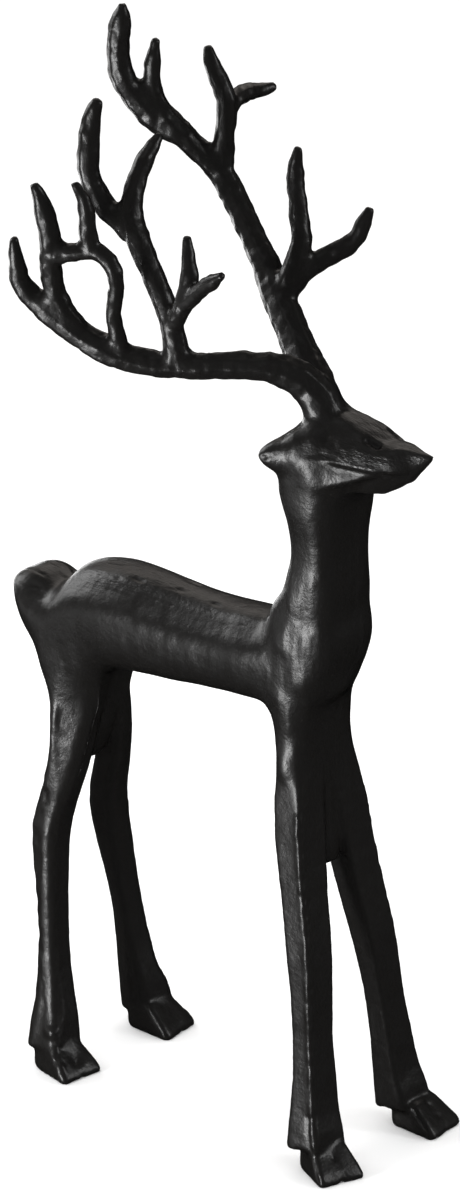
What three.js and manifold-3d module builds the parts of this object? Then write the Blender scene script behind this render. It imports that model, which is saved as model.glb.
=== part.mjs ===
// A standing stag, cast in one piece of iron and painted black.
// Millimetres. +X is ahead of the stag, +Y is its left side, +Z is up, and z = 0 is the ground.
import * as THREE from 'three';
import { ConvexGeometry } from 'three/addons/geometries/ConvexGeometry.js';
import { mergeVertices } from 'three/addons/utils/BufferGeometryUtils.js';
import Module from 'manifold-3d';

const wasm = await Module();
wasm.setup();

// ---- Driving dimensions -------------------------------------------------
const FRONT_HOOF_X = 82;      // middle of the front hooves
const HIND_HOOF_X = -107;     // middle of the hind hooves
const HOOF_Y = 38.5;          // middle of each hoof, either side of the middle line
const HOOF_LENGTH = 30;
const HOOF_WIDTH = 23.5;
const HOOF_HEIGHT = 16;
const TOE_FLARE = 0.45;       // how much wider the toe is than the heel, as a share of the width
const TOE_SLOPE = 12;         // how far the front of the hoof leans back over its height
const CLEFT_WIDTH = 2.4;
const CLEFT_DEPTH = 2.6;
const LEG_TOP = 200;          // height above which a leg stands the same on both sides

// How far each leg and its hoof are set ahead and outward of their plain places, how far its toe
// turns out in degrees, and how stout the leg is.
const FEET = {
  right: {
    front: { legAhead: 1.2, legOutward: 0.6, hoofAhead: 0, hoofOutward: 0.4, toeOut: 16, stout: 1 },
    hind: { legAhead: 0, legOutward: 1, hoofAhead: 0, hoofOutward: 1.5, toeOut: 4, stout: 1 },
  },
  left: {
    front: { legAhead: -3.4, legOutward: -3, hoofAhead: -1.6, hoofOutward: -0.6, toeOut: 9, stout: 0.95 },
    hind: { legAhead: -1, legOutward: -2, hoofAhead: 0, hoofOutward: -4, toeOut: 9, stout: 0.96 },
  },
};

// Sides of each kind of limb, and the spacing of its rings.
const LEG_SIDES = 12;
const LEG_STEP = 11.5;
const BODY_SIDES = 20;
const BODY_STEP = 9.5;
const ANTLER_SIDES = 8;
const ANTLER_STEP = 9;
const HOOF_STEP = 3;
const CLEFT_SIDES = 6;

// The share of a bar's half-width that is cut from each of its corners.
const FORELEG_CUT = 0.14;
const HINDLEG_CUT = 0.3;
const HOOF_CUT = 0.16;

// How square each other section is: 2 is an ellipse, and larger is squarer.
const TORSO_SQUARENESS = 2.8;
const NECK_SQUARENESS = 4.5;
const WEB_SQUARENESS = 2.5;

const SIZE_TENSION = 0.3;
const MERGE_DISTANCE = 1e-4;

const AHEAD = new THREE.Vector3(1, 0, 0);
const ACROSS = new THREE.Vector3(0, 1, 0);
const UP = new THREE.Vector3(0, 0, 1);
const ASLANT = new THREE.Vector3(1, -1, 0).normalize();

// ---- Solids -------------------------------------------------------------
// A manifold solid from any closed three.js geometry.
function solid(geometry) {
  const bare = geometry.clone();
  bare.deleteAttribute('normal');
  bare.deleteAttribute('uv');
  const merged = mergeVertices(bare, MERGE_DISTANCE);
  return new wasm.Manifold(new wasm.Mesh({
    numProp: 3,
    vertProperties: new Float32Array(merged.attributes.position.array),
    triVerts: new Uint32Array(merged.index.array),
  }));
}

function geometryOf(manifold) {
  const mesh = manifold.getMesh();
  const geometry = new THREE.BufferGeometry();
  const corners = new Float32Array(mesh.vertProperties);
  geometry.setAttribute('position', new THREE.BufferAttribute(corners, 3));
  geometry.setIndex(new THREE.BufferAttribute(new Uint32Array(mesh.triVerts), 1));
  geometry.computeVertexNormals();
  return geometry;
}

// The distance from the middle to the rim of a rounded square, in the direction of an angle.
function rimOf(angle, squareness) {
  const c = Math.abs(Math.cos(angle)) ** squareness;
  const s = Math.abs(Math.sin(angle)) ** squareness;
  return (c + s) ** (-1 / squareness);
}

// The same for a square bar with its corners cut, whose rim corners come two to each cut.
function barRim(angle, cut) {
  const quarter = Math.PI / 2;
  const inQuarter = ((angle % quarter) + quarter) % quarter;
  const edge = Math.atan(1 - cut);
  const third = quarter / 3;
  let turned = inQuarter * edge / third;
  if (inQuarter > third) {
    const share = Math.min((inQuarter - third) / third, 1);
    turned = edge + share * (quarter - 2 * edge);
  }
  if (inQuarter > 2 * third) {
    turned = quarter - (quarter - inQuarter) * edge / third;
  }
  const radius = 1 / Math.max(Math.cos(turned), Math.sin(turned));
  return { angle: angle - inQuarter + turned, radius };
}

// A limb is a closed cylinder bent along a smooth line through its stations.
// Each station is [x, y, z, half-size along `facing`, half-size across it].
// A round one gives only the first of the two.
// A level one has all its sections flat to the ground, and one with a `cut` is a square bar.
function limbGeometry(stations, { sides, step, squareness = 2, cut, facing = AHEAD, level = false }) {
  const places = stations.map(([x, y, z]) => new THREE.Vector3(x, y, z));
  const halves = stations.map(([, , , a, b = a]) => new THREE.Vector3(a, b, 0));
  const line = new THREE.CatmullRomCurve3(places, false, 'centripetal');
  const sizes = new THREE.CatmullRomCurve3(halves, false, 'catmullrom', SIZE_TENSION);
  const rings = Math.max(3, Math.round(line.getLength() / step));
  const geometry = new THREE.CylinderGeometry(1, 1, 1, sides, rings);
  const position = geometry.attributes.position;
  const point = new THREE.Vector3();
  for (let i = 0; i < position.count; i += 1) {
    point.fromBufferAttribute(position, i);
    const t = THREE.MathUtils.clamp(point.y + 0.5, 0, 1);
    const reach = Math.hypot(point.x, point.z);
    const plain = Math.atan2(point.z, point.x);
    const { angle, radius } = cut === undefined
      ? { angle: plain, radius: rimOf(plain, squareness) }
      : barRim(plain, cut);
    const tangent = level ? UP : line.getTangent(t);
    const size = sizes.getPoint(t);
    const a = facing.clone().addScaledVector(tangent, -facing.dot(tangent)).normalize();
    const b = new THREE.Vector3().crossVectors(a, tangent);
    const rim = reach * radius;
    line.getPoint(t, point);
    point.addScaledVector(a, rim * Math.cos(angle) * size.x);
    point.addScaledVector(b, rim * Math.sin(angle) * size.y);
    position.setXYZ(i, point.x, point.y, point.z);
  }
  return geometry;
}

const limb = (stations, options) => solid(limbGeometry(stations, options));

const mirrored = (stations, side) => stations.map(([x, y, ...rest]) => [x, y * side, ...rest]);

// A barrel laid along X: each station is [x, lowest z, highest z, half-width].
function barrel(stations, squareness) {
  const upright = stations.map(([x, low, high, half]) => {
    const middleHeight = (low + high) / 2;
    return [x, 0, middleHeight, high - middleHeight, half];
  });
  return limb(upright, { sides: BODY_SIDES, step: BODY_STEP, squareness, facing: UP });
}

// The same leg with its foot set a little ahead and outward, more so towards the ground.
function leaning(stations, { legAhead, legOutward, stout }) {
  return stations.map(([x, y, z, ...sizes]) => {
    const share = THREE.MathUtils.clamp(1 - z / LEG_TOP, 0, 1);
    const thickness = THREE.MathUtils.lerp(1, stout, share);
    return [x + legAhead * share, y + legOutward * share, z, ...sizes.map((size) => size * thickness)];
  });
}

// ---- Body, neck and head ------------------------------------------------
const torso = barrel([
  [-169, 258.5, 261.5, 14],
  [-165, 255, 264.8, 18.5],
  [-159, 249.5, 267, 21.5],
  [-153, 241, 267, 22.8],
  [-146, 229, 265, 23.5],
  [-138, 223, 261, 24],
  [-130, 221.5, 265.5, 24.5],
  [-121, 221.5, 275.5, 25],
  [-110, 223.5, 281.5, 25.5],
  [-94, 227, 284.5, 26],
  [-64, 231, 284, 25],
  [-36, 234.5, 283, 24],
  [-8, 238, 285.5, 24],
  [15, 239, 289, 24.5],
  [32, 240, 292, 22],
  [45, 248, 290, 16],
  [52, 260, 286, 8],
], TORSO_SQUARENESS);

const neck = limb([
  [38, 0, 214, 8, 20],
  [37.5, 0, 234, 9.5, 21.5],
  [36, 0, 247, 12, 22.5],
  [36, 0, 258, 17, 23],
  [37, 0, 270, 22, 23],
  [38, 1.2, 284, 24.5, 23.2],
  [39.5, 1.6, 294, 23.6, 22.9],
  [41.5, 1.4, 302, 21.6, 22.3],
  [44.9, 0.8, 309, 17.2, 21],
  [45.5, 0, 315, 16.8, 20.6],
  [46.8, 0, 326, 14.6, 20],
  [46.8, 0, 338, 14.6, 20.2],
  [46.5, 0, 349, 15.8, 21.4],
  [46, 0, 360, 18.5, 22.6],
  [44.5, 0, 372, 21.5, 22.6],
  [43.5, 0, 384, 21.5, 20.5],
  [44, 0, 394, 18.5, 17.5],
  [44, 0, 402, 12, 11],
], { sides: BODY_SIDES, step: BODY_STEP, squareness: NECK_SQUARENESS });

// The head is two wedges of flat faces, the skull and the muzzle.
// Each corner is x, distance from the middle line, z, and stands on both sides.
function wedge(corners) {
  const bothSides = corners.flatMap(([x, y, z]) => [
    new THREE.Vector3(x, y, z),
    new THREE.Vector3(x, -y, z),
  ]);
  return solid(new ConvexGeometry(bothSides));
}

const skull = wedge([
  [29, 14, 398], [46, 10, 411.5], [61, 8, 412], [72, 8, 409.8],  // crown
  [80, 10.5, 407], [87, 9.5, 403.8],                           // brow
  [42, 21.5, 394], [64, 18.5, 391], [84, 13, 389],               // cheek
  [34, 17, 372], [58, 17, 372.5], [76, 8, 374.5],                // jaw
]);

const muzzle = wedge([
  [70, 8, 396], [84, 9.5, 404], [100, 5.5, 405],                 // bridge
  [117.6, 1.2, 404], [116.5, 1.4, 401],                          // tip
  [84, 13, 389.5], [93, 10.5, 389],                              // lip
  [76, 8, 374.5], [87.5, 3.7, 375.8], [104, 2.2, 386.5],             // chin
]);

const earStations = [
  [44, 10, 388, 16, 9],
  [36, 17, 387.5, 14, 8.5],
  [29, 23, 388, 10.5, 7],
  [23.5, 27.5, 388.5, 7, 4.5],
  [20.5, 29.5, 388.5, 2.8, 2.2],
];

// Between the tops of each pair of legs the iron runs on down as a narrow web.
const foreWeb = limb([
  [38, 0, 236, 9, 14],
  [40, 0, 205, 7.5, 12],
  [43, 0, 180, 6.5, 11],
  [46, 0, 163, 5, 9],
  [47.5, 0, 156, 2.5, 6],
], { sides: LEG_SIDES, step: LEG_STEP, squareness: WEB_SQUARENESS });

const hindWeb = limb([
  [-120, 0, 236, 14, 16],
  [-117, 0, 208, 10, 14],
  [-118, 0, 188, 8, 11],
  [-121, 0, 174, 5.5, 9],
  [-122.5, 0, 167, 2.5, 6],
], { sides: LEG_SIDES, step: LEG_STEP, squareness: WEB_SQUARENESS });

// ---- Legs ---------------------------------------------------------------
// x, distance from the middle line, z, half-size fore and aft, half-size across.
const foreleg = [
  [31, 10, 262, 14, 12],
  [30.8, 10.8, 248, 14, 11.2],
  [33.7, 11, 235, 10.2, 10.6],
  [37.5, 13, 212, 9.2, 10.3],
  [41.7, 17, 180, 9.6, 10.9],
  [47.4, 20.5, 152, 8.6, 10.5],
  [52.8, 23.5, 129, 8.2, 10.4],
  [56.8, 26, 112, 8, 10.2],
  [61.3, 29, 87, 7.2, 9.6],
  [63.7, 31, 69, 6.9, 9.4],
  [66.6, 33, 50, 7.5, 10.1],
  [68.3, 35, 33, 8.8, 10.8],
  [71, 37, 19, 10.8, 11.9],
  [72, 38, 12, 11.2, 12.2],
];

const hindleg = [
  [-127, 10, 256, 24, 9],
  [-124, 13.5, 230, 22.5, 11.5],
  [-119.5, 15.5, 208, 14.2, 11.2],
  [-119.5, 17, 192, 10.8, 10.8],
  [-121, 18.5, 174, 9.2, 10.2],
  [-124.2, 20, 159, 8.4, 9.4],
  [-128.7, 21.3, 143, 8.4, 9.1],
  [-131, 23, 130, 8.8, 9.2],
  [-129.8, 24.8, 114, 7.8, 8.9],
  [-126.4, 27.3, 92, 6.4, 8.4],
  [-123.2, 29.5, 71, 5.6, 8.2],
  [-120.5, 32, 48, 7, 9],
  [-117.7, 34.5, 29, 10, 10.4],
  [-116.2, 36.5, 17, 11.2, 11.4],
  [-115.4, 37.5, 11, 11.5, 11.8],
];

// Level sections of a hoof, from the ground up, as shares of its length, width and height:
// height, heel, toe, width. The sole is flat, the heel tucked in and the front leans back.
const hoofSections = [
  [0, -0.43, 0.51, 0.98],
  [0.12, -0.49, 0.52, 1],
  [0.4, -0.5, 0.4, 0.98],
  [0.7, -0.51, 0.22, 0.94],
  [1, -0.48, 0.04, 0.88],
];

// A hoof turned out a little, with a cleft down its front.
function hoof(x, y, side, toeOut) {
  const stations = hoofSections.map(([height, heel, toe, width]) => [
    HOOF_LENGTH * (heel + toe) / 2,
    0,
    HOOF_HEIGHT * height,
    HOOF_LENGTH * (toe - heel) / 2,
    HOOF_WIDTH * width / 2,
  ]);
  const block = limbGeometry(stations, { sides: LEG_SIDES, step: HOOF_STEP, cut: HOOF_CUT, level: true });
  const cleftRadius = CLEFT_WIDTH / 2;
  const cleft = new THREE.CylinderGeometry(cleftRadius, cleftRadius, 3 * HOOF_HEIGHT, CLEFT_SIDES);
  cleft.scale(CLEFT_DEPTH * 2 / CLEFT_WIDTH, 1, 1);
  cleft.rotateX(Math.PI / 2);
  cleft.rotateY(-Math.atan2(TOE_SLOPE, HOOF_HEIGHT));
  cleft.translate(HOOF_LENGTH / 2 - TOE_SLOPE / 2, 0, HOOF_HEIGHT / 2);
  const corners = block.attributes.position;
  for (let i = 0; i < corners.count; i += 1) {
    corners.setY(i, corners.getY(i) * (1 + TOE_FLARE * corners.getX(i) / HOOF_LENGTH));
  }
  for (const geometry of [block, cleft]) {
    geometry.rotateZ(side * THREE.MathUtils.degToRad(toeOut));
    geometry.translate(x, side * y, 0);
  }
  return solid(block).subtract(solid(cleft));
}

// ---- Antlers ------------------------------------------------------------
// x, y, z and half-thickness of each branch, from its root to its tip.
const rightAntler = [
  // The low beam, back and up to its end fork.
  { facing: ASLANT,
    stations: [
      [46, 0, 388, 13], [47, -3, 404, 12], [46, -4, 413, 11.4], [38, -7, 424, 10.5],
      [28, -15, 432, 9.3], [16, -24, 434, 8], [-10, -41, 432, 7.5], [-26, -50, 430.5, 7],
      [-40, -58, 433, 7.8], [-52, -64, 437, 8.2], [-67, -71, 444.5, 7.6], [-79, -78, 455, 7],
      [-87, -82, 462, 6.2], [-91, -86, 470, 5.4], [-92, -88, 481, 4.7], [-92, -90, 495, 2.2],
    ] },
  // Its outer tine.
  { facing: AHEAD,
    stations: [
      [-64, -70, 446, 5.5], [-74, -76, 461, 6], [-75, -80, 478, 6.2], [-72, -83, 494, 6],
      [-72, -86, 509, 5.5], [-75, -88, 520, 4.7], [-77, -90, 529, 2.2],
    ] },
  // The hook that closes the ring.
  { facing: ACROSS,
    stations: [
      [-72, -82, 489, 6.3], [-60, -78, 492, 5], [-49, -73, 494, 4.9], [-42, -70, 488, 4.9],
      [-40, -68, 478, 4.2], [-43, -67, 466, 4.2], [-45, -65, 455, 4.4], [-43, -62, 439, 5.2],
    ] },
  // The small tine on the ring.
  { facing: AHEAD,
    stations: [
      [-53, -74, 493, 5.4], [-53, -76, 507, 5.2], [-53, -77, 520, 4.4], [-59, -79, 531, 2],
    ] },
  // The rear branch.
  { facing: AHEAD,
    stations: [
      [-18, -45, 432, 7.8], [-19, -46, 444, 7], [-22, -46, 454, 6.5], [-27, -46, 464, 6.2],
      [-38, -45, 480, 6.2], [-48, -43, 492, 6.7], [-56, -40, 503, 6.5], [-58, -36, 512, 6],
      [-59, -30, 523, 5], [-59, -22, 533, 4.5], [-59, -14, 539, 2.2],
    ] },
  // Its long tine.
  { facing: AHEAD,
    stations: [
      [-53, -42, 494, 6.2], [-68, -43, 503, 6.2], [-77, -44, 512, 6.2], [-81, -45, 523, 6.2],
      [-81, -45, 534, 6], [-81, -44, 546, 5.5], [-79, -43, 556, 4.2], [-77, -42, 561, 2.2],
    ] },
  // The tine over the beam.
  { facing: AHEAD,
    stations: [
      [-20, -47, 452, 4.7], [-9, -49, 472, 5.5], [-9, -46, 484, 5], [-13, -43, 493, 3.6],
      [-15, -42, 502, 2],
    ] },
  // The short tine ahead.
  { facing: UP,
    stations: [
      [-10, -49, 468, 4.7], [7, -53, 483, 4.7], [18, -56, 491, 3.9], [25, -58, 496, 2],
    ] },
];

const leftAntler = [
  // The steep beam, back and up.
  { facing: ACROSS,
    stations: [
      [44, 0, 388, 13], [44, 3, 403, 11.4], [33, 6, 415, 11.4], [16, 13, 427, 9.8],
      [2, 20, 438, 9], [-13.5, 27, 448, 8.8], [-28, 33, 461, 7.8], [-39, 37, 470, 7.3],
      [-60, 42, 491, 6.9], [-69, 42, 501, 7], [-76, 38, 509, 6.7], [-83, 32, 518, 6.7],
      [-91, 26, 528, 7.1], [-97, 24, 538, 5.7], [-99, 23, 549, 5], [-99, 23, 559, 4.5],
      [-97, 24, 572, 2.2],
    ] },
  // The top tine.
  { facing: ACROSS,
    stations: [
      [-81, 32, 518, 5.7], [-96, 24, 527, 7.5], [-105, 18, 538, 7.5], [-110, 13, 549, 6.9],
      [-112, 11, 561, 6.5], [-111, 10, 573, 6.5], [-108, 9, 585, 5.8], [-107, 9, 593, 2.2],
    ] },
  // The curved tine inside it.
  { facing: AHEAD,
    stations: [
      [-68, 43, 503, 6.2], [-68, 44, 514, 5.7], [-66, 44, 528, 5.7], [-65, 43, 541, 5.7],
      [-68, 42, 550, 5.2], [-74, 42, 558, 5], [-78, 42, 568, 2.2],
    ] },
  // The tine out to the side.
  { facing: AHEAD,
    stations: [
      [-65, 44, 536, 5.2], [-67, 54, 539, 4.9], [-70, 66, 538, 5], [-70, 76, 536, 4.1],
      [-67, 83, 537, 2],
    ] },
  // The tine over the brow.
  { facing: AHEAD,
    stations: [
      [-12, 28, 450, 5.7], [-7, 32, 466, 6.6], [-6, 36, 480, 6], [-10, 39, 492, 5.5],
      [-14, 41, 504, 5.2], [-16, 42, 514, 4.8], [-14, 42, 528, 2.2],
    ] },
  // The side tine over the brow.
  { facing: UP,
    stations: [
      [-10, 29, 452, 6.8], [-4, 36, 464, 6.3], [1, 44, 469, 5.8], [8, 50, 474, 5.6],
      [14.5, 55, 480, 5.3], [18, 58, 490, 4], [20, 60, 498, 2.2],
    ] },
];

// ---- Casting ------------------------------------------------------------
const pieces = [torso, neck, skull, muzzle, foreWeb, hindWeb];
for (const [feet, side] of [[FEET.right, -1], [FEET.left, 1]]) {
  const { front, hind } = feet;
  const leg = { sides: LEG_SIDES, step: LEG_STEP };
  const ear = mirrored(earStations, side);
  const fore = mirrored(leaning(foreleg, front), side);
  const back = mirrored(leaning(hindleg, hind), side);
  pieces.push(limb(ear, { sides: LEG_SIDES, step: BODY_STEP, facing: UP }));
  pieces.push(limb(fore, { ...leg, cut: FORELEG_CUT }));
  pieces.push(limb(back, { ...leg, cut: HINDLEG_CUT }));
  pieces.push(hoof(FRONT_HOOF_X + front.hoofAhead, HOOF_Y + front.hoofOutward, side, front.toeOut));
  pieces.push(hoof(HIND_HOOF_X + hind.hoofAhead, HOOF_Y + hind.hoofOutward, side, hind.toeOut));
}
for (const { stations, facing } of [...rightAntler, ...leftAntler]) {
  pieces.push(limb(stations, { sides: ANTLER_SIDES, step: ANTLER_STEP, facing }));
}
let casting = pieces[0];
for (const piece of pieces.slice(1)) {
  casting = casting.add(piece);
}

const form = geometryOf(casting);
const stag = new THREE.Mesh(
  form,
  new THREE.MeshStandardMaterial({ color: 0x1c1b1a, roughness: 0.42, metalness: 0.35 }),
);
stag.name = 'stag';

// The origin is under the middle of the whole casting, on the ground.
form.computeBoundingBox();
const middle = form.boundingBox.getCenter(new THREE.Vector3());
stag.position.set(-middle.x, -middle.y, -form.boundingBox.min.z);

const group = new THREE.Group();
group.add(stag);

export default group;
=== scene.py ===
import math

import bpy
import numpy as np
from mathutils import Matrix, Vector


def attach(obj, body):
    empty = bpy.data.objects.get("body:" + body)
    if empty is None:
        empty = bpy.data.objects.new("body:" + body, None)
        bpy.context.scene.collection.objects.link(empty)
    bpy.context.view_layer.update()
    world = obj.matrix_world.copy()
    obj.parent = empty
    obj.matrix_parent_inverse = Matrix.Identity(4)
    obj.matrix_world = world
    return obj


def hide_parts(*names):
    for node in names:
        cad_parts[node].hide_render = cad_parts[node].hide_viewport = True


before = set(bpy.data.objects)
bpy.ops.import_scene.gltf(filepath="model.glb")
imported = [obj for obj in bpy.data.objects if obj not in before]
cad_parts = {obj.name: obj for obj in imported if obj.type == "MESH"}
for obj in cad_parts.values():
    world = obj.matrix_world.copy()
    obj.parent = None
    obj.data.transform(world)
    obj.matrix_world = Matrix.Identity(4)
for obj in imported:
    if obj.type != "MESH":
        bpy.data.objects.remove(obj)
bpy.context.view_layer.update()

# ---- The view -----------------------------------------------------------
# A long lens, a little above the stag and ahead of its right shoulder.
VIEW_TARGET = Vector((0.0257, -0.0209, 0.2987))
VIEW_DISTANCE = 6.24
VIEW_AZIMUTH = 42.5
VIEW_ELEVATION = 23


def direction(azimuth, elevation):
    """The unit vector towards a place: degrees round from the stag's right side to its front, and up."""
    turn = math.radians(azimuth)
    rise = math.radians(elevation)
    level = math.cos(rise)
    return Vector((math.sin(turn) * level, -math.cos(turn) * level, math.sin(rise)))


def stand(thing, azimuth, elevation, distance):
    """Puts a camera or a light out in that direction, aimed at the middle of the stag."""
    back = direction(azimuth, elevation)
    thing.location = VIEW_TARGET + back * distance
    thing.rotation_mode = "QUATERNION"
    thing.rotation_quaternion = (-back).to_track_quat("-Z", "Y")
    bpy.context.scene.collection.objects.link(thing)


camera_data = bpy.data.cameras.new("camera")
camera_data.lens = 360
camera_data.sensor_width = 36
camera_data.clip_end = 60
camera = bpy.data.objects.new("camera", camera_data)
stand(camera, VIEW_AZIMUTH, VIEW_ELEVATION, VIEW_DISTANCE)
bpy.context.scene.camera = camera

# ---- The studio ---------------------------------------------------------
# A wide pale floor and seven soft boxes. Two stand low by the right flank, a wide one and a small
# bright one, and two behind the rump. One hangs overhead, a warm panel stands behind the left flank,
# and a tall strip ahead of the left shoulder.


def soft_light(name, azimuth, elevation, distance, size, power, tint=(1, 1, 1)):
    """A soft box out in that direction, with its width and height in metres and its power in watts."""
    data = bpy.data.lights.new(name, "AREA")
    data.shape = "RECTANGLE"
    data.size, data.size_y = size
    data.energy = power
    data.color = tint
    light = bpy.data.objects.new(name, data)
    stand(light, azimuth, elevation, distance)


soft_light("key", -45, -16, 0.75, (0.70, 0.20), 0.18)
soft_light("core", -14, -9, 0.8, (0.16, 0.34), 4.4)
soft_light("rear", -84, 24, 1.0, (0.5, 0.5), 3.0)
soft_light("beams", -108, -6, 0.75, (0.60, 0.18), 1.3)
soft_light("overhead", -30, 72, 1.4, (0.7, 0.7), 0.45)
soft_light("panel", -140, 34, 1.6, (1.5, 0.8), 3.6, (1, 0.93, 0.87))
soft_light("strip", 124, 25, 2.4, (0.35, 1.1), 10)

bpy.ops.object.select_all(action="DESELECT")
bpy.ops.mesh.primitive_plane_add(size=30, location=(0, 0, 0))
floor = bpy.context.object
floor.name = "floor"
floor_paint = bpy.data.materials.new("pale_floor")
floor_paint.use_nodes = True
floor_shader = floor_paint.node_tree.nodes["Principled BSDF"]
floor_shader.inputs["Base Color"].default_value = (0.92, 0.92, 0.92, 1)
floor_shader.inputs["Roughness"].default_value = 0.9
floor_shader.inputs["Specular IOR Level"].default_value = 0.1
floor.data.materials.append(floor_paint)
floor.visible_glossy = False

world = bpy.data.worlds.new("studio")
world.use_nodes = True
world.node_tree.nodes["Background"].inputs["Color"].default_value = (0.95, 0.95, 0.95, 1)
world.node_tree.nodes["Background"].inputs["Strength"].default_value = 1.12
world.cycles_visibility.glossy = False
bpy.context.scene.world = world
bpy.context.scene.view_settings.view_transform = "Standard"

# ---- The casting --------------------------------------------------------
# The whole stag is one piece of grey iron, poured in a sand mould and fettled by hand.
# Its limbs keep the flats and ridges of the carved pattern, and its skin the lumps of the sand.

# The voxel is in metres, as Blender's tools take it. The carving is in millimetres, measured from
# MIDDLE: a point on the ground under the shoulders, midway between the right side and the left.
VOXEL = 0.0011
MIDDLE = np.array((25.7, 4.4, 0.0))
MM = 1000.0
MOST_TRIANGLES = 190000
LEG_TOP = 205
ANTLER_FOOT = 420

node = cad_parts["stag"]
casting = bpy.data.objects.new("stag_casting", node.data.copy())
casting.matrix_world = node.matrix_world
bpy.context.scene.collection.objects.link(casting)
bpy.ops.object.select_all(action="DESELECT")
casting.select_set(True)
bpy.context.view_layer.objects.active = casting
bpy.ops.object.mode_set(mode="EDIT")
bpy.ops.mesh.select_all(action="SELECT")
bpy.ops.mesh.remove_doubles(threshold=0.00001)
bpy.ops.object.mode_set(mode="OBJECT")
remesh = casting.modifiers.new("skin", "REMESH")
remesh.mode = "VOXEL"
remesh.voxel_size = VOXEL
remesh.use_smooth_shade = True
bpy.ops.object.modifier_apply(modifier="skin")


def rising(values, low, high):
    """0 below the low value, 1 above the high one, with a soft step between."""
    part = np.clip((values - low) / (high - low), 0, 1)
    return part * part * (3 - 2 * part)


class Skin:
    """The casting's surface, for moving its points as a carver would."""

    def __init__(self, mesh):
        self.mesh = mesh
        found = np.empty(len(mesh.vertices) * 3)
        mesh.vertices.foreach_get("co", found)
        self.points = found.reshape(-1, 3) * MM - MIDDLE
        edges = np.empty(len(mesh.edges) * 2, dtype=np.int64)
        mesh.edges.foreach_get("vertices", edges)
        edges = edges.reshape(-1, 2)
        self.ends = np.concatenate([edges[:, 0], edges[:, 1]])
        self.others = np.concatenate([edges[:, 1], edges[:, 0]])
        self.counts = np.bincount(self.ends, minlength=len(self.points))

    def write(self):
        self.mesh.vertices.foreach_set("co", ((self.points + MIDDLE) / MM).ravel())
        self.mesh.update()

    def read_normals(self):
        self.write()
        found = np.empty(len(self.points) * 3)
        self.mesh.vertices.foreach_get("normal", found)
        self.normals = found.reshape(-1, 3)

    def blurred(self, values, times):
        """Values averaged with their neighbours' again and again."""
        columns = values.reshape(len(values), -1).T
        for _ in range(times):
            sums = [np.bincount(self.ends, column[self.others], len(column)) for column in columns]
            columns = [0.5 * column + 0.5 * total / self.counts for column, total in zip(columns, sums)]
        return np.stack(columns, axis=1).reshape(values.shape)

    def smooth(self, times, share):
        """Smooths a share of the surface without thinning the limbs."""
        before = self.points.copy()
        self.points = self.blurred(before, times)
        self.read_normals()
        lost = np.einsum("ij,ij->i", before - self.points, self.normals)
        kept = self.points + self.normals * self.blurred(lost, 2 * times)[:, None]
        self.points = before + (kept - before) * share[:, None]
        self.read_normals()

    def push(self, amount):
        """Moves the surface out by an amount, or in where it is below 0."""
        self.points = self.points + self.normals * amount[:, None]

    def fill_hollows(self, share, times):
        """Lets the metal gather in the corners, as it does in a fork of a casting."""
        for _ in range(times):
            sunk = np.einsum("ij,ij->i", self.blurred(self.points, 20) - self.points, self.normals)
            self.push(2 * np.clip(sunk, 0, 1) * share)
            self.read_normals()

    def noise(self, size, seed):
        """Smooth lumps between -1 and 1, of that size along X, Y and Z."""
        cells = 32
        table = np.random.default_rng(seed).uniform(-1, 1, (cells, cells, cells))
        place = self.points / np.array(size) + 100
        corner = np.floor(place).astype(int)
        part = place - corner
        part = part * part * (3 - 2 * part)
        total = np.zeros(len(place))
        for step in np.ndindex(2, 2, 2):
            weight = np.prod(np.where(step, part, 1 - part), axis=1)
            index = (corner + step) % cells
            total += weight * table[index[:, 0], index[:, 1], index[:, 2]]
        return total

    def along(self, path, width):
        """1 on a path of points, falling softly to 0 away from it."""
        nearest = np.full(len(self.points), np.inf)
        for start, end in zip(path[:-1], path[1:]):
            start = np.array(start, dtype=float)
            run = np.array(end, dtype=float) - start
            share = np.clip((self.points - start) @ run / (run @ run), 0, 1)
            away = self.points - start - share[:, None] * run
            nearest = np.minimum(nearest, np.einsum("ij,ij->i", away, away))
        return np.exp(-nearest / width ** 2)

    def both_sides(self, path, width):
        """The same path on the right side and on the left."""
        other = [(x, -y, z) for x, y, z in path]
        return np.maximum(self.along(path, width), self.along(other, width))


skin = Skin(casting.data)
x, y, z = skin.points.T
on_leg = 1 - rising(z, LEG_TOP - 15, LEG_TOP + 15)
on_antler = rising(z, ANTLER_FOOT - 8, ANTLER_FOOT + 8)
on_head = rising(x, 50, 62) * rising(z, 366, 372) * (1 - on_antler)
on_body = (1 - on_leg) * (1 - on_antler) * (1 - on_head)
skin.smooth(120, on_body)
skin.smooth(2, np.ones(len(x)))
skin.smooth(4, on_leg + on_head)
trunk = on_body * (1 - rising(x, 18, 34))
on_neck = on_body * rising(x, 18, 34)

# The hind legs are planed off towards the front, and keep a round edge behind.
x, y, z = skin.points.T
out = np.abs(y)
hind = (1 - rising(z, 200, 238)) * (1 - rising(x, -74, -56)) * rising(z, 20, 40)
back_edge = np.interp(
    z, [20, 60, 90, 120, 150, 180, 215, 240], [-124, -127, -130, -133, -133, -131, -137, -140])
middle = np.interp(z, [20, 60, 100, 150, 180, 215, 240], [35, 29, 25, 20, 17, 13, 8])
strip = np.interp(z, [150, 185], [12, 5])
front_flat = np.interp(z, [150, 185], [14, 24])
planed = 0.22 * np.abs(np.clip(x - back_edge - 4, -6, strip - 3))
planed = planed + 0.47 * np.clip(x - back_edge - strip, 0, front_flat)
planed = planed * rising(out - middle, 0, 7) * hind
skin.points[:, 1] -= np.sign(y) * planed
skin.smooth(4, hind)
skin.smooth(40, hind * rising(z, 150, 175) * rising(x, -112, -104))
up = skin.normals[:, 2]

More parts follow.
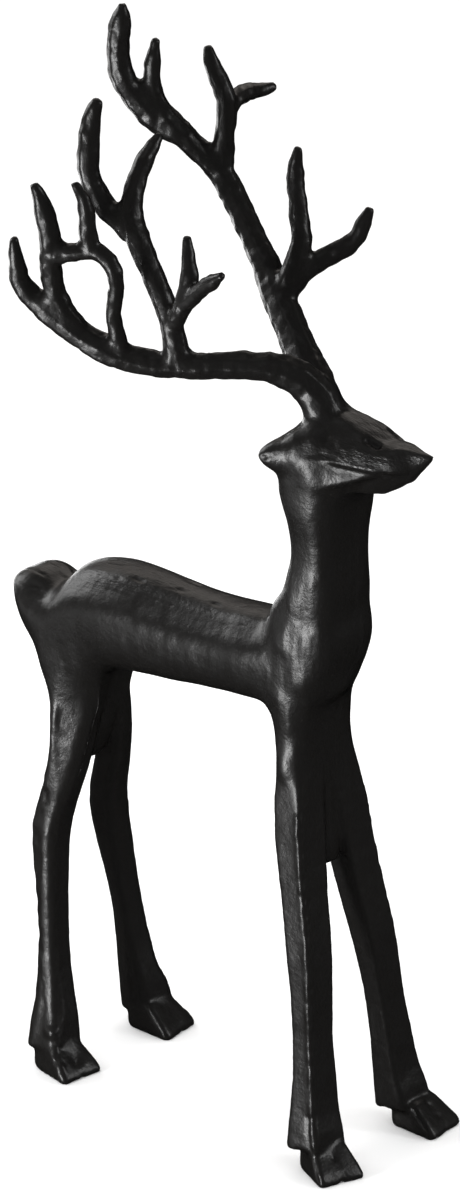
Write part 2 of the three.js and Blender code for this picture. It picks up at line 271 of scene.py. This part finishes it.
# The back rounds over into the flanks.
shoulder = trunk * rising(up, 0.25, 0.5) * (1 - rising(up, 0.75, 0.95))
skin.push(-3.2 * skin.blurred(shoulder, 25))
skin.smooth(110, trunk)
skin.smooth(60, skin.both_sides([(-146, -24, 260), (-124, -27, 264), (-112, -26, 264)], 11))
up = skin.normals[:, 2]
sideways = np.abs(skin.normals[:, 1])

# The flanks carry the upright ripples of the carver's gouge, and the back long rough strokes.
on_flank = trunk * rising(sideways, 0.6, 0.9)
skin.push(on_flank * (0.24 * skin.noise((5, 16, 17), 1) + 0.13 * skin.noise((3, 9, 11), 2)))
on_back = trunk * rising(up, 0.55, 0.8)
skin.push(on_back * (0.08 * skin.noise((20, 3, 3), 3) + 0.05 * skin.noise((9, 2, 2), 4)))
nicks = rising(skin.noise((13, 2.6, 2.6), 5), 0.45, 0.75)
skin.push(-0.6 * on_back * nicks)
skin.push(trunk * 0.4 * skin.noise((17, 17, 17), 6))

# The neck is flat in front, and lumpy down the sides of its foot, where it swells into the shoulder.
neck_foot = on_neck * rising(z, 235, 262) * (1 - rising(z, 318, 340))
skin.push(neck_foot * rising(sideways, 0.5, 0.8) * (
    0.5 * skin.noise((10, 10, 11), 7) + 0.12 * skin.noise((4, 4, 5), 8)))
skin.push(on_neck * 0.22 * skin.noise((3, 3, 22), 9))
skin.push(on_neck * rising(sideways, 0.5, 0.9) * 0.4 * skin.noise((14, 14, 24), 10))
skin.push(1.4 * skin.both_sides([(38, -20, 318), (40, -20, 302), (36, -22, 282)], 8))

# The left edge of the chest keeps the scratches of the file.
rim = skin.along([(51, 16, 346), (52, 20, 299), (52, 24, 241)], 6)
skin.push(0.5 * rim * skin.noise((2.4, 2.4, 12), 21))

# Two knobs stand out under the shoulder and one on the thigh, and the hind leg has two small pits.
for amount, path, width in (
    (1.3, [(33, -24, 250), (38, -24, 238)], 7),
    (1.1, [(36, -24, 216), (36.5, -24, 212)], 5),
    (0.9, [(-126, -27, 200), (-124, -27, 190)], 3),
    (-1.1, [(-121, -27, 198), (-122, -27, 191)], 1.8),
    (-1.1, [(-129, -30, 152), (-129, -30, 147)], 1.8),
):
    skin.push(amount * skin.both_sides(path, width))

# The legs are bars with lumpy corners. The front corner of a foreleg runs down to the toe as a double
# ridge, and a ragged strip stands out down the shin of a hind leg and over its hoof.
x, y, z = skin.points.T
skin.smooth(8, rising(z, 5, 9) * (1 - rising(z, 20, 30)))
fore_corner = [(49, -27, 190), (52, -29, 172), (56, -31, 150), (63, -35, 121), (67, -38, 94),
               (72, -42, 62), (78, -47, 32), (82, -50, 18), (93, -55, 3)]
hind_corner = [(-133, -28, 165), (-134, -30, 150), (-136, -34, 121), (-131, -36, 94),
               (-126, -40, 62), (-125, -45, 32), (-124, -49, 20)]
skin.push(skin.both_sides(fore_corner, 2.0) * (0.6 + 0.7 * skin.noise((3.5, 3.5, 4), 19)))
skin.push(skin.both_sides(hind_corner, 4.0) * 0.6 * skin.noise((4, 4, 6), 20))
skin.push(1.5 * skin.both_sides([(-101, -38, 11)], 3))
skin.smooth(60, np.clip(1.5 * skin.both_sides([(-102, -38, 14), (-96, -40, 9)], 6), 0, 1))
shin_strip = [(-125, -33, 127), (-124, -35, 104), (-122, -37, 82),
              (-119, -40, 58), (-114, -44, 40), (-110, -47, 25)]
hoof_strip = [(-110, -47, 25), (-105, -48, 17), (-97, -52, 7)]
ragged = 0.16 * skin.noise((3, 3, 5), 22)
skin.push(0.45 * rising(skin.both_sides(shin_strip, 4.8) + ragged, 0.35, 0.6))
skin.push(skin.both_sides(hoof_strip, 3.6) * (0.5 + 0.9 * skin.noise((3, 3, 3), 23)))
groove = [(ahead - 3, across - 0.5, level) for ahead, across, level in fore_corner[6:]]
skin.push(-0.8 * skin.both_sides(groove, 1.6))
skin.push(on_leg * 0.16 * skin.noise((7, 7, 12), 11))
skin.push(on_leg * 0.08 * skin.noise((3.6, 3.6, 5), 12))

# The tail is a flat lip, with a valley across behind the rise of the rump.
valley = skin.along([(-138, -24, 262), (-138, 24, 262)], 5)
skin.push(-0.4 * valley * rising(up, 0, 0.4))
skin.push(0.7 * skin.along([(-164, -20, 262), (-168, 0, 263), (-164, 20, 262)], 4))

# The head is a wedge: a sloping roof down to a lip that stands out, and a flat jaw set in under it.
x, y, z = skin.points.T
side = np.sign(y)
out = np.abs(y)
shelf = rising(x, 56, 70) * rising(z, 390, 394)
shelf = shelf * (1 - rising(z, 397, 409)) * (1 - rising(x, 98, 112))
skin.points[:, 1] += side * 3.4 * shelf * rising(out, 3, 8)
jaw_foot = 371 + np.clip(x - 56, 0, 40) * 0.47
jaw = rising(x, 38, 58) * (1 - rising(x, 90, 95))
jaw = jaw * rising(z, jaw_foot, jaw_foot + 4) * (1 - rising(z, 392, 395))
jaw_face = 22 - (x - 52) * 0.25 + (394 - z) * 0.17
skin.points[:, 1] += side * (jaw_face - out) * jaw * rising(out, 5, 9)
skin.smooth(3, np.clip(4 * (jaw + shelf), 0, 1))
skin.smooth(60, skin.both_sides([(50, -10, 411), (72, -9, 409), (90, -9, 403)], 9))

# The cheeks are round and run down into the neck, and the throat is filled in under the chin.
skin.push(1.2 * skin.both_sides([(34, -18, 364), (52, -18, 364)], 9))
skin.smooth(150, np.clip(2 * skin.both_sides([(26, -19, 362), (52, -19, 366)], 13), 0, 1))
skin.smooth(90, np.clip(1.6 * skin.both_sides([(30, -23, 393), (52, -20, 398)], 7), 0, 1))
skin.push(4.2 * skin.both_sides([(43, -19, 397), (50, -17, 400)], 8))
skin.push(2.4 * skin.both_sides([(44, -20, 388), (50, -20, 386)], 9))
skin.smooth(60, np.clip(1.5 * skin.both_sides([(46, -20, 392)], 12), 0, 1))
skin.push(1.6 * skin.both_sides([(58, -18, 383)], 8))
skin.fill_hollows(np.clip(1.5 * skin.along([(66, -13, 370), (66, 13, 370)], 9), 0, 1), 8)

# A crease parts the ear from the cheek. The eyes are slits, with a shallow nick in the temple behind each.
ear_crease = [(38, -12, 403), (34, -20, 396), (31, -21, 382), (30, -18, 372)]
skin.push(-2.4 * skin.both_sides(ear_crease, 3))
skin.push(-2.6 * skin.both_sides([(82, -9.5, 406.5), (87, -8.5, 404.5)], 2))
skin.push(-1.2 * skin.both_sides([(60, -16, 402), (66, -15, 400)], 2.4))
up = skin.normals[:, 2]
skin.push(on_head * rising(up, 0.1, 0.4) * (
    0.2 * skin.noise((7, 2.4, 2.4), 13) + 0.14 * skin.noise((12, 3, 3), 14)))
skin.push(on_head * 0.2 * skin.noise((5, 5, 5), 18))

# The ears are broad and folded at the tip.
skin.push(-1.0 * skin.both_sides([(20, -36, 386), (28, -30, 388), (35, -25, 391)], 1.5))

# The antlers are lumpy all along and filled in the forks, and the root of the right one is rough.
skin.fill_hollows(rising(skin.points[:, 2], ANTLER_FOOT, ANTLER_FOOT + 12), 4)
skin.push(on_antler * 0.6 * skin.noise((8, 8, 10), 15))
skin.push(on_antler * 0.4 * skin.noise((3.5, 3.5, 4.5), 16))
roots = skin.along([(30, -14, 432), (48, 0, 408)], 12)
skin.push(0.5 * roots * skin.noise((3, 3, 3), 17))

# Nothing reaches below the ground.
skin.points[:, 2] = np.maximum(skin.points[:, 2], 0)
skin.write()
thin = casting.modifiers.new("thin", "DECIMATE")
thin.ratio = MOST_TRIANGLES / (2 * len(casting.data.polygons))
bpy.ops.object.modifier_apply(modifier="thin")

# ---- The paint ----------------------------------------------------------
# Satin black paint, brushed thinly over the iron: the grain of the sand still shows through it.


class Value:
    """A socket in a shader, with the arithmetic of plain numbers."""

    def __init__(self, tree, socket):
        self.tree = tree
        self.socket = socket

    def math(self, operation, *others):
        node = self.tree.nodes.new("ShaderNodeMath")
        node.operation = operation
        for place, item in zip(node.inputs, others):
            if isinstance(item, Value):
                self.tree.links.new(item.socket, place)
            else:
                place.default_value = item
        return Value(self.tree, node.outputs[0])

    def __add__(self, other):
        return self.math("ADD", self, other)

    __radd__ = __add__

    def __mul__(self, other):
        return self.math("MULTIPLY", self, other)

    __rmul__ = __mul__

    def __sub__(self, other):
        return self.math("SUBTRACT", self, other)

    def __rsub__(self, other):
        return self.math("SUBTRACT", other, self)

    def step(self, low, high):
        """0 below the low value and 1 above the high one."""
        node = self.tree.nodes.new("ShaderNodeMapRange")
        node.inputs["From Min"].default_value = low
        node.inputs["From Max"].default_value = high
        self.tree.links.new(self.socket, node.inputs["Value"])
        return Value(self.tree, node.outputs["Result"])


def add_node(tree, kind, settings=(), output=0, **inputs):
    """A node of that kind, with its settings made, its sockets set or linked, and one output taken."""
    node = tree.nodes.new(kind)
    for name, value in dict(settings).items():
        setattr(node, name, value)
    for name, value in inputs.items():
        socket = node.inputs[name.replace("_", " ")]
        if isinstance(value, Value):
            tree.links.new(value.socket, socket)
        else:
            socket.default_value = value
    return Value(tree, node.outputs[output])


# How deep each mark in the skin is, in metres.
GRAIN_DEPTH = 0.00006
PIT_DEPTH = 0.00012
LUMP_DEPTH = 0.0003
STROKE_DEPTH = 0.00035

paint = bpy.data.materials.new("black_iron")
paint.use_nodes = True
tree = paint.node_tree
shader = tree.nodes["Principled BSDF"]
place = add_node(tree, "ShaderNodeTexCoord", output="Object")
grain = add_node(tree, "ShaderNodeTexNoise", Vector=place, Scale=900.0, Detail=3.0, Roughness=0.6)
lumps = add_node(tree, "ShaderNodeTexNoise", Vector=place, Scale=160.0, Detail=3.0, Roughness=0.55)
stretched = add_node(tree, "ShaderNodeVectorMath", {"operation": "MULTIPLY"}, Vector=place)
stretched.socket.node.inputs[1].default_value = (130, 800, 800)
strokes = add_node(
    tree, "ShaderNodeTexNoise", Vector=stretched, Scale=1.0, Detail=2.0, Roughness=0.6)
height = add_node(tree, "ShaderNodeSeparateXYZ", Vector=place, output=2)
forward = add_node(tree, "ShaderNodeSeparateXYZ", Vector=place, output=0)
back = (height - forward * 0.13).step(0.279, 0.290) * (1 - height.step(0.315, 0.335))
back = back * (1 - forward.step(0.045, 0.060))
snout = height.step(0.388, 0.396) * (1 - height.step(0.415, 0.425)) * forward.step(0.070, 0.090)
pits = add_node(tree, "ShaderNodeTexNoise", Vector=place, Scale=380.0, Detail=2.0, Roughness=0.5)
relief = grain * GRAIN_DEPTH + pits * PIT_DEPTH + lumps * LUMP_DEPTH
relief = relief + (back + snout) * strokes * STROKE_DEPTH
bump = add_node(tree, "ShaderNodeBump", Height=relief, Strength=1.0, Distance=1.0)
tree.links.new(bump.socket, shader.inputs["Normal"])
shader.inputs["Base Color"].default_value = (0.0075, 0.0069, 0.0064, 1)
rough = lumps * 0.2 + 0.24
tree.links.new(rough.socket, shader.inputs["Roughness"])

casting.data.materials.clear()
casting.data.materials.append(paint)
bpy.ops.object.select_all(action="DESELECT")
casting.select_set(True)
bpy.context.view_layer.objects.active = casting
bpy.ops.object.shade_smooth()

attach(casting, "root")
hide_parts("stag")
